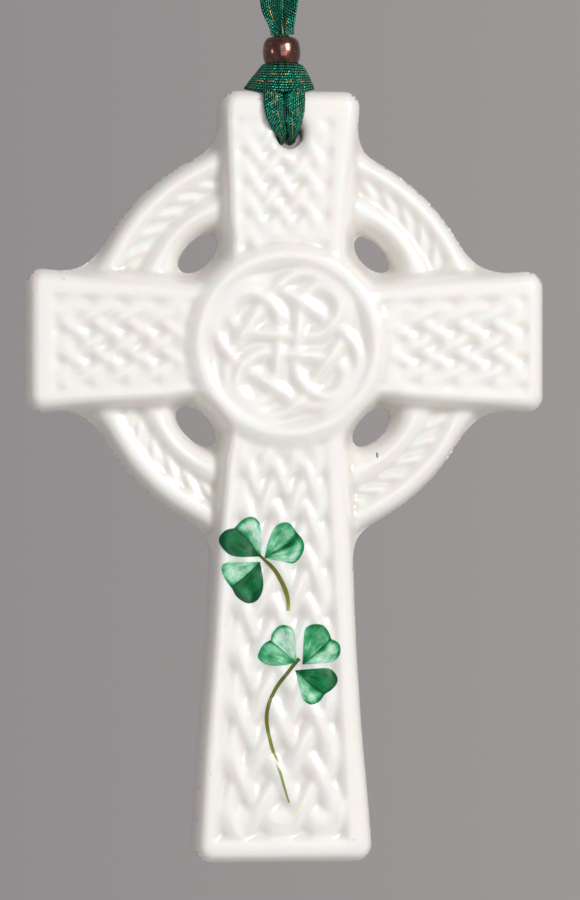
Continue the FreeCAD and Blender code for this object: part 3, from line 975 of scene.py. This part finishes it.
def front_facing(thing):
    """Turns the faces of a sheet that lies on the relief towards the front."""
    mesh = thing.data
    normals = np.empty(len(mesh.polygons) * 3)
    mesh.polygons.foreach_get("normal", normals)
    if normals.reshape(-1, 3)[:, 1].mean() > 0:
        mesh.flip_normals()


def stem(name, places, widths):
    """One painted stem: a tapering stroke along a spline, lying on the relief."""
    rows, columns = 70, 7
    line = spline_points([on_face(*place) for place in places], rows)
    share = np.linspace(0, 1, rows)
    width = np.interp(share, np.linspace(0, 1, len(widths)), widths)
    tangent = unit(np.gradient(line, axis=0))
    s = np.linspace(-1, 1, columns)
    out = width[:, None] / 2 * s
    x = line[:, 0:1] - tangent[:, 1:2] * out
    z = line[:, 1:2] + tangent[:, 0:1] * out
    points = placed(x, sampled(grid_height, x, z) + 0.04, z)
    thing = new_mesh_object(name, points, grid_faces(rows, columns))
    uv_from_grid(thing, x.shape, (s + 1) / 2, share[:, None])
    front_facing(thing)
    return thing


class Nodes:
    """Short calls for a material's nodes: each adds one node and returns its output socket."""

    def __init__(self, name):
        self.material = bpy.data.materials.new(name)
        self.material.use_nodes = True
        self.tree = self.material.node_tree
        self.shader = self.tree.nodes["Principled BSDF"]

    def put(self, socket, value):
        """Links a socket to an input, or sets the input to a plain value."""
        if isinstance(value, bpy.types.NodeSocket):
            self.tree.links.new(value, socket)
        elif isinstance(value, (tuple, list)) and len(value) == 3 and len(socket.default_value) == 4:
            socket.default_value = (*value, 1)
        else:
            socket.default_value = value

    def set(self, **inputs):
        for name, value in inputs.items():
            self.put(self.shader.inputs[name.replace("_", " ")], value)

    def node(self, kind, output=0, settings=None, **inputs):
        made = self.tree.nodes.new(kind)
        for name, value in (settings or {}).items():
            setattr(made, name, value)
        for name, value in inputs.items():
            key = int(name[1:]) if name[0] == "i" and name[1:].isdigit() else name.replace("_", " ")
            self.put(made.inputs[key], value)
        return made.outputs[output]

    def math(self, operation, a, b=0.0):
        return self.node("ShaderNodeMath", settings={"operation": operation}, i0=a, i1=b)

    def noise(self, vector, scale, detail=3.0, roughness=0.5):
        return self.node("ShaderNodeTexNoise", Vector=vector, Scale=scale, Detail=detail, Roughness=roughness)

    def mapped(self, vector, scale):
        return self.node("ShaderNodeMapping", Vector=vector, Scale=scale)

    def ramp(self, factor, *stops):
        made = self.tree.nodes.new("ShaderNodeValToRGB")
        self.put(made.inputs[0], factor)
        elements = made.color_ramp.elements
        while len(elements) < len(stops):
            elements.new(0.5)
        for element, (place, colour) in zip(elements, stops):
            element.position = place
            element.color = (*colour, 1) if len(colour) == 3 else colour
        return made.outputs[0]

    def mix(self, factor, a, b):
        made = self.tree.nodes.new("ShaderNodeMix")
        made.data_type = "RGBA"
        self.put(made.inputs[0], factor)
        self.put(made.inputs[6], a)
        self.put(made.inputs[7], b)
        return made.outputs[2]

    def bump(self, height, strength, distance):
        made = self.tree.nodes.new("ShaderNodeBump")
        made.inputs["Strength"].default_value = strength
        made.inputs["Distance"].default_value = distance
        self.tree.links.new(height, made.inputs["Height"])
        return made.outputs[0]


def linear(r, g, b):
    """A colour given in screen values from 0 to 255, as the shader's linear values."""
    v = np.array([r, g, b]) / 255
    return tuple(np.where(v < 0.04045, v / 12.92, ((v + 0.055) / 1.055) ** 2.4).tolist())


# Specks fired into the glaze: x, z, half width, half height and strength.
KILN_SPECKS = [
    (12.1, -15.2, 0.14, 0.42, 0.9),
    (-29.5, 7.9, 0.16, 0.16, 0.3),
    (-10.2, -57.2, 0.15, 0.15, 0.35),
    (8.7, -66.0, 0.14, 0.14, 0.35),
]


def porcelain_glaze():
    """Ivory white porcelain under a clear glaze that pools, a shade warmer, in the hollows."""
    n = Nodes("porcelain_glaze")
    place = n.node("ShaderNodeTexCoord", output=3)
    pool = n.node("ShaderNodeAttribute", output=2, settings={"attribute_name": "pool"})
    hollow = n.node("ShaderNodeMapRange", Value=pool, From_Min=0.0, From_Max=0.28)
    cloud = n.noise(place, 60.0, 2.0)
    base = n.mix(cloud, linear(247, 244, 240), linear(244, 241, 236))
    tinted = n.mix(hollow, base, linear(232, 227, 219))
    for x, z, half_x, half_z, dark in KILN_SPECKS:
        apart = n.node("ShaderNodeVectorMath", settings={"operation": "SUBTRACT"}, i0=place,
                       i1=(x * MM, -2 * MM, (z + CENTRE_Z) * MM))
        apart = n.node("ShaderNodeVectorMath", settings={"operation": "MULTIPLY"}, i0=apart,
                       i1=(1 / (half_x * MM), 1 / (4 * MM), 1 / (half_z * MM)))
        reach = n.node("ShaderNodeVectorMath", output=1, settings={"operation": "LENGTH"}, i0=apart)
        mark = n.node("ShaderNodeMapRange", Value=reach, From_Min=0.7, From_Max=1.1, To_Min=dark, To_Max=0.0)
        tinted = n.mix(mark, tinted, linear(96, 58, 44))
    ripple = n.noise(place, 160.0, 2.0)
    fine = n.noise(place, 700.0, 1.0)
    wave = n.math("ADD", ripple, n.math("MULTIPLY", fine, 0.15))
    n.set(Base_Color=tinted, Roughness=0.2, Normal=n.bump(wave, 0.4, 0.0001), Coat_Weight=0.6,
          Coat_Roughness=0.07, Subsurface_Weight=0.4, Subsurface_Scale=0.0014, IOR=1.5)
    return n.material


def leaf_paint():
    """Brushed green enamel: each leaflet's own tone, broken by streaks that run out from its base."""
    n = Nodes("leaf_paint")
    uv = n.node("ShaderNodeTexCoord", output=2)
    tone = n.node("ShaderNodeAttribute", output=2, settings={"attribute_name": "tone"})
    streaks = n.noise(n.mapped(uv, (24.0, 2.0, 1.0)), 1.0, 3.0, 0.6)
    washes = n.noise(n.mapped(uv, (7.0, 3.5, 1.0)), 1.0, 3.0, 0.6)
    strokes = n.math("ADD", n.math("MULTIPLY", streaks, 0.65), n.math("MULTIPLY", washes, 0.9))
    change = n.math("SUBTRACT", strokes, 0.775)
    colour = n.ramp(n.math("ADD", tone, change), (0.0, linear(0, 80, 42)), (0.25, linear(0, 118, 64)),
                    (0.5, linear(56, 160, 104)), (0.72, linear(134, 204, 164)), (0.95, linear(208, 236, 220)))
    n.set(Base_Color=colour, Roughness=0.45, Specular_IOR_Level=0.2, Coat_Weight=0.08, Coat_Roughness=0.1)
    return n.material


def stem_paint():
    """Olive enamel, thinner and yellower towards the end of the stroke."""
    n = Nodes("stem_paint")
    uv = n.node("ShaderNodeTexCoord", output=2)
    along = n.node("ShaderNodeSeparateXYZ", output=1, Vector=uv)
    streaks = n.noise(n.mapped(uv, (3.0, 9.0, 1.0)), 1.0, 2.0)
    tone = n.math("ADD", n.math("MULTIPLY", along, 0.5), n.math("MULTIPLY", streaks, 0.5))
    colour = n.ramp(tone, (0.2, linear(74, 76, 2)), (0.55, linear(120, 124, 18)), (0.9, linear(178, 188, 84)))
    n.set(Base_Color=colour, Roughness=0.22, Coat_Weight=0.5, Coat_Roughness=0.05)
    return n.material


FLOATS_ACROSS = 11
PICKS_PER_MM = 2.6
PICK_SLANT = 26.0


def satin_ribbon():
    """Emerald satin: long floats across its width, picks along it, and two fine broken gold threads. The
    satin's sheen is painted into its colour as bright teal, and painted shade as near-black green.
    """
    n = Nodes("satin_ribbon")
    uv = n.node("ShaderNodeTexCoord", output=2)
    across = n.node("ShaderNodeSeparateXYZ", output=0, Vector=uv)
    along = n.node("ShaderNodeSeparateXYZ", output=1, Vector=uv)
    floats = n.math("SINE", n.math("MULTIPLY", across, 2 * math.pi * FLOATS_ACROSS))
    turns = n.math("MULTIPLY", along, 2 * math.pi * PICKS_PER_MM)
    picks = n.math("SINE", n.math("ADD", turns, n.math("MULTIPLY", across, PICK_SLANT)))
    weave = n.math("MULTIPLY", n.math("ADD", floats, 1.0), n.math("ADD", picks, 1.6))
    weave = n.math("MULTIPLY", weave, 0.2)
    # The weave and a loose noise set the colour from near-black green to bright teal: painted sheen on the
    # threads and painted shade for the dark folds.
    loose = n.noise(n.mapped(uv, (26.0, 2.4, 1.0)), 1.0, 2.0)
    lustre = n.math("MULTIPLY", weave, n.math("ADD", loose, 0.35))
    green = n.ramp(lustre, (0.05, linear(0, 28, 22)), (0.35, linear(0, 112, 86)),
                   (0.75, linear(48, 204, 170)))
    away = n.math("ABSOLUTE", n.math("SUBTRACT", across, 0.52))
    away = n.math("ABSOLUTE", n.math("SUBTRACT", away, 0.13))
    thread = n.node("ShaderNodeMapRange", Value=away, From_Min=0.012, From_Max=0.035, To_Min=1.0, To_Max=0.0)
    shown = n.noise(n.mapped(uv, (2.0, 1.1, 1.0)), 1.0, 2.0)
    shown = n.node("ShaderNodeMapRange", Value=shown, From_Min=0.5, From_Max=0.54)
    colour = n.mix(n.math("MULTIPLY", thread, shown), green, linear(206, 172, 84))
    crumple = n.noise(n.mapped(uv, (1.6, 0.8, 1.0)), 1.0, 2.0)
    folds = n.math("ADD", n.math("MULTIPLY", weave, 0.16), n.math("MULTIPLY", crumple, 2.2))
    n.set(Base_Color=colour, Metallic=0.6, Roughness=0.24, Normal=n.bump(folds, 0.8, 0.0006))
    return n.material


def copper_lustre():
    """Copper lustre fired on dark ware: rose brown, mottled, with finely scratched gloss."""
    n = Nodes("copper_lustre")
    place = n.node("ShaderNodeTexCoord", output=3)
    mottle = n.noise(place, 900.0, 4.0, 0.65)
    colour = n.ramp(mottle, (0.3, linear(70, 36, 28)), (0.55, linear(122, 76, 64)),
                    (0.75, linear(176, 122, 110)))
    rough = n.node("ShaderNodeMapRange", Value=n.noise(place, 2200.0, 2.0), To_Min=0.1, To_Max=0.32)
    n.set(Base_Color=colour, Metallic=0.95, Roughness=rough, Normal=n.bump(mottle, 0.15, 0.0001),
          Coat_Weight=0.8, Coat_Roughness=0.03)
    return n.material


glaze = porcelain_glaze()
satin = satin_ribbon()
leaf = leaf_paint()
stroke = stem_paint()
lustre = copper_lustre()


def dress(thing, material, slot_name, *nodes):
    """Gives a piece its material and its body, and hides the model's parts for the nodes that it stands for.
    The slot name is not used.
    """
    thing.data.materials.append(material)
    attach(thing, "root")
    if nodes:
        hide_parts(*nodes)


loop_ribbon, loop_path = ribbon_loop()
dress(loop_ribbon, satin, "ribbon_green", "ribbon_loop")
dress(porcelain_cross(), glaze, "porcelain", "porcelain_cross")

# The painted leaflets: name, the pixel of the base, the tones of the two lobes, the vein's
# place between them, and the outline by angle in degrees and distance from the base in pixels.
LEAFLETS = [
    ("upper_leaflet_left", (261.3, 555.5), (0.12, 0.85), 0.52,
     [(183, 0), (182, 12), (181, 25), (174, 34), (160, 45), (144, 43.6), (133, 37.4), (133, 37.4),
      (114, 40.6), (100, 39.6), (88, 30), (92, 17), (97, 6), (97, 0)]),
    ("upper_leaflet_right", (265, 557), (0.62, 0.75), 0.5,
     [(79, 0), (79, 14), (74, 27), (69, 35.4), (56, 42.6), (39, 39.8), (39, 39.3), (24, 41.5),
      (10, 39.2), (-7, 32.2), (-14, 26), (-4, 19), (8, 12), (16, 0)]),
    ("upper_leaflet_low", (260.5, 561), (0.78, 0.14), 0.5,
     [(192, 0), (190, 12), (181, 21), (180, 34), (188, 38.5), (204, 38), (223, 37), (223, 37),
      (236, 41), (254, 42.6), (267, 37.6), (278, 25.7), (283, 11), (283, 0)]),
    ("lower_leaflet_left", (296.9, 661.2), (0.6, 0.88), 0.48,
     [(192, 0), (190, 14), (186, 27), (174, 39), (161, 38.3), (149, 37), (139, 33.7), (139, 33.2),
      (131, 37.4), (115, 40.3), (104, 37.9), (93, 31), (96, 17), (112, 0)]),
    ("lower_leaflet_right", (302.9, 662.9), (0.5, 0.78), 0.55,
     [(88, 0), (88, 16), (88, 31), (84, 37), (75, 40.6), (63, 43.3), (51, 40.3), (42, 37), (42, 36.6),
      (31, 41.2), (19, 39.3), (8, 34), (2, 24), (13, 12), (15, 0)]),
    ("lower_leaflet_low", (295.6, 668.9), (0.2, 0.72), 0.52,
     [(6, 0), (6, 16.5), (5, 31), (-1, 37.8), (-13, 43.3), (-26, 40.7), (-38, 36.6), (-38, 36.4),
      (-52, 38.4), (-63, 37.6), (-73, 32.4), (-77, 24.9), (-70, 12), (-55, 0)]),
]
for name, base, tones, vein, outline in LEAFLETS:
    dress(leaflet(name, base, outline, tones, vein), leaf, "porcelain")

# The painted stems: name, pixels along the stroke, and its widths from end to end.
STEMS = [
    ("upper_stem", [(264, 558), (275, 568), (286, 588), (289, 602), (287, 617)], (0.3, 0.5, 0.58, 0.42)),
    ("lower_stem", [(292, 666), (277, 684), (266, 708), (269, 735), (279, 764), (286, 790), (293, 810)],
     (0.5, 0.5, 0.46, 0.4, 0.2)),
]
for name, places, widths in STEMS:
    dress(stem(name, places, widths), stroke, "porcelain")

bead_piece = bead()
dress(bead_piece, lustre, "bead_lustre", "bead")
hitch_parts = [hitch_band(), hitch_neck()] + [hitch_leg(*leg) for leg in LEGS]
for part in hitch_parts:
    dress(part, satin, "ribbon_green", "ribbon_hitch")


FLOOR_Z = -0.205
FLOOR_RINGS = [(0.04, 0.0), (0.08, 0.0), (0.118, 0.0), (0.12, -0.001), (0.12, -0.004)]


def floor():
    """A pale round floor under the hanging cross, its rim turned down. Each ring is a radius and a drop."""
    columns = 96
    angle = np.linspace(0, 2 * np.pi, columns, endpoint=False)
    r, drop = np.array(FLOOR_RINGS).T[..., None]
    rings = np.stack(np.broadcast_arrays(r * np.cos(angle), r * np.sin(angle), FLOOR_Z + drop), axis=-1)
    points = np.concatenate([[(0, 0, FLOOR_Z)], rings.reshape(-1, 3)])
    j = np.arange(columns)
    fan = np.stack([np.zeros(columns, dtype=int), 1 + j, 1 + (j + 1) % columns], axis=-1)
    sides = np.array(grid_faces(len(FLOOR_RINGS), columns, close_columns=True))[:, ::-1] + 1
    thing = new_mesh_object("floor", points, fan.tolist() + sides.tolist())
    n = Nodes("floor_paper")
    place = n.node("ShaderNodeTexCoord", output=3)
    paper = n.mix(n.noise(place, 300.0), linear(222, 220, 218), linear(214, 212, 210))
    n.set(Base_Color=paper, Roughness=0.7)
    thing.data.materials.append(n.material)


floor()


# The lamps: name, place, the point each is turned to, size across and up, and power.
MIDDLE = (0.0, 0.0, -0.115)
LAMPS = [
    ("key", (0.42, -0.62, 0.18), MIDDLE, 0.32, 0.32, 4.1),
    ("strip", (-0.62, -0.30, -0.02), (0, 0, -0.08), 0.10, 0.08, 0.14),
    ("fill", (0.2, -1.3, 0.1), MIDDLE, 0.9, 0.9, 3.55),
]


def area_lamp(name, place, aim, width, height, power):
    """A soft box: a rectangle of light at one place, turned to another."""
    data = bpy.data.lights.new(name, "AREA")
    data.shape = "RECTANGLE"
    data.size = width
    data.size_y = height
    data.energy = power
    lamp = bpy.data.objects.new(name, data)
    bpy.context.scene.collection.objects.link(lamp)
    lamp.location = place
    lamp.rotation_mode = "QUATERNION"
    lamp.rotation_quaternion = (Vector(aim) - Vector(place)).to_track_quat("-Z", "Y")


for lamp in LAMPS:
    area_lamp(*lamp)


def studio():
    """A soft grey room: to the camera and in reflections a grey with painted light, darker at the left and
    lighter towards the right, and plain light to the rest.
    """
    world = bpy.data.worlds.new("studio")
    bpy.context.scene.world = world
    world.use_nodes = True
    tree = world.node_tree
    tree.nodes.clear()
    link = tree.links.new
    output = tree.nodes.new("ShaderNodeOutputWorld")
    seen = tree.nodes.new("ShaderNodeBackground")
    light = tree.nodes.new("ShaderNodeBackground")
    mixed = tree.nodes.new("ShaderNodeMixShader")
    rays = tree.nodes.new("ShaderNodeLightPath")
    either = tree.nodes.new("ShaderNodeMath")
    any_of_three = tree.nodes.new("ShaderNodeMath")
    either.operation = "MAXIMUM"
    any_of_three.operation = "MAXIMUM"
    link(rays.outputs["Is Camera Ray"], either.inputs[0])
    link(rays.outputs["Is Glossy Ray"], either.inputs[1])
    link(either.outputs[0], any_of_three.inputs[0])
    link(rays.outputs["Is Transmission Ray"], any_of_three.inputs[1])
    direction = tree.nodes.new("ShaderNodeTexCoord")
    parts = tree.nodes.new("ShaderNodeSeparateXYZ")
    shade = tree.nodes.new("ShaderNodeValToRGB")
    link(direction.outputs["Generated"], parts.inputs[0])
    link(parts.outputs[0], shade.inputs[0])
    # Painted light on the backdrop: its grey is darker at the left and lighter towards the right.
    stops = ((0.02, linear(146, 142, 143)), (0.17, linear(156, 152, 151)))
    for element, (place, grey) in zip(shade.color_ramp.elements, stops):
        element.position = place
        element.color = (*grey, 1)
    link(shade.outputs[0], seen.inputs["Color"])
    light.inputs["Color"].default_value = (1.0, 0.99, 0.98, 1)
    light.inputs["Strength"].default_value = 0.27
    link(any_of_three.outputs[0], mixed.inputs[0])
    link(light.outputs[0], mixed.inputs[1])
    link(seen.outputs[0], mixed.inputs[2])
    link(mixed.outputs[0], output.inputs["Surface"])


studio()
